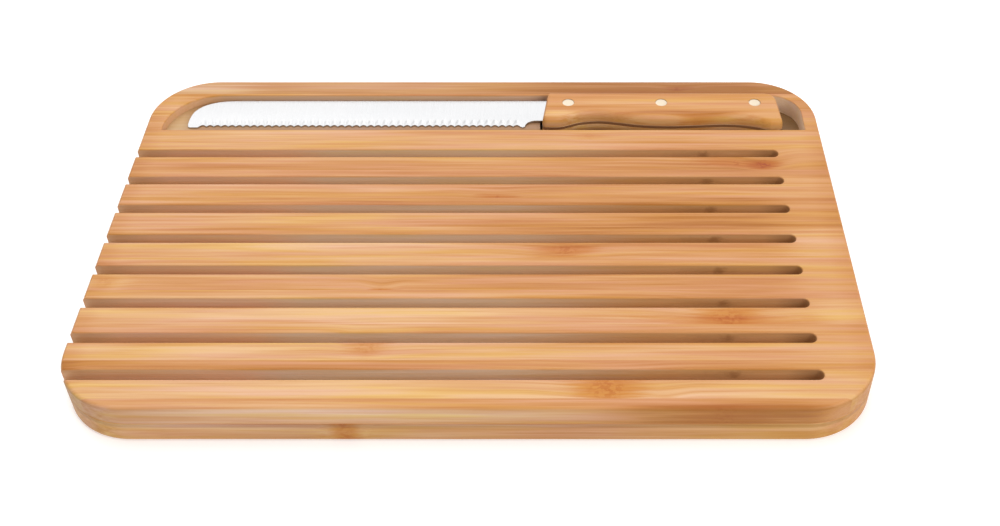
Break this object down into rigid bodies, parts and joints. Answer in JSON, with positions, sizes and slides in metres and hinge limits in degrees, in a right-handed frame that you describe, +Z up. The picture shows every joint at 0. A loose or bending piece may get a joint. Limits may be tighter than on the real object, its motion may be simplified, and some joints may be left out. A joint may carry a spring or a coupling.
{
  "type": "bread board with knife",
  "caption": "Rounded rectangular bamboo bread board with crumb grooves and a serrated bread knife lying in a recess along its back edge.",
  "frame": {"origin": "centre of the board's flat underside", "axes": "+X along the laths and grooves towards the knife's handle, +Y towards the back edge where the knife lies, +Z up"},
  "size_m": [0.38, 0.25, 0.027],
  "materials": {
    "bamboo_top": "oiled bamboo, satin",
    "bamboo_base": "oiled bamboo, satin",
    "bamboo_handle": "oiled bamboo, smooth",
    "steel_blade": "finely ground and polished",
    "steel_rivet": "polished"
  },
  "bodies": {
    "board": {"rail_lath_1": "bamboo_top", "recess_lath_1": "bamboo_top", "recess_lath_2": "bamboo_top", "slat_1": "bamboo_top", "slat_2": "bamboo_top", "slat_3": "bamboo_top", "slat_4": "bamboo_top", "slat_5": "bamboo_top", "slat_6": "bamboo_top", "slat_7": "bamboo_top", "slat_8": "bamboo_top", "front_lath_1": "bamboo_top", "base_lath_1": "bamboo_base", "base_lath_2": "bamboo_base", "base_lath_3": "bamboo_base", "base_lath_4": "bamboo_base", "base_lath_5": "bamboo_base", "base_lath_6": "bamboo_base", "base_lath_7": "bamboo_base", "base_lath_8": "bamboo_base", "base_lath_9": "bamboo_base", "base_lath_10": "bamboo_base", "base_lath_11": "bamboo_base"},
    "knife": {"blade": "steel_blade", "upper_scale": "bamboo_handle", "lower_scale": "bamboo_handle", "rivet_socket_1": "steel_rivet", "rivet_socket_2": "steel_rivet", "rivet_socket_3": "steel_rivet", "rivet_pin_1": "steel_rivet", "rivet_pin_2": "steel_rivet", "rivet_pin_3": "steel_rivet"}
  },
  "joints": [
    {"name": "knife_lift", "type": "slide", "parent": "board", "child": "knife", "axis": [0, 0, 1], "range_m": [0, 0.06]}
  ]
}
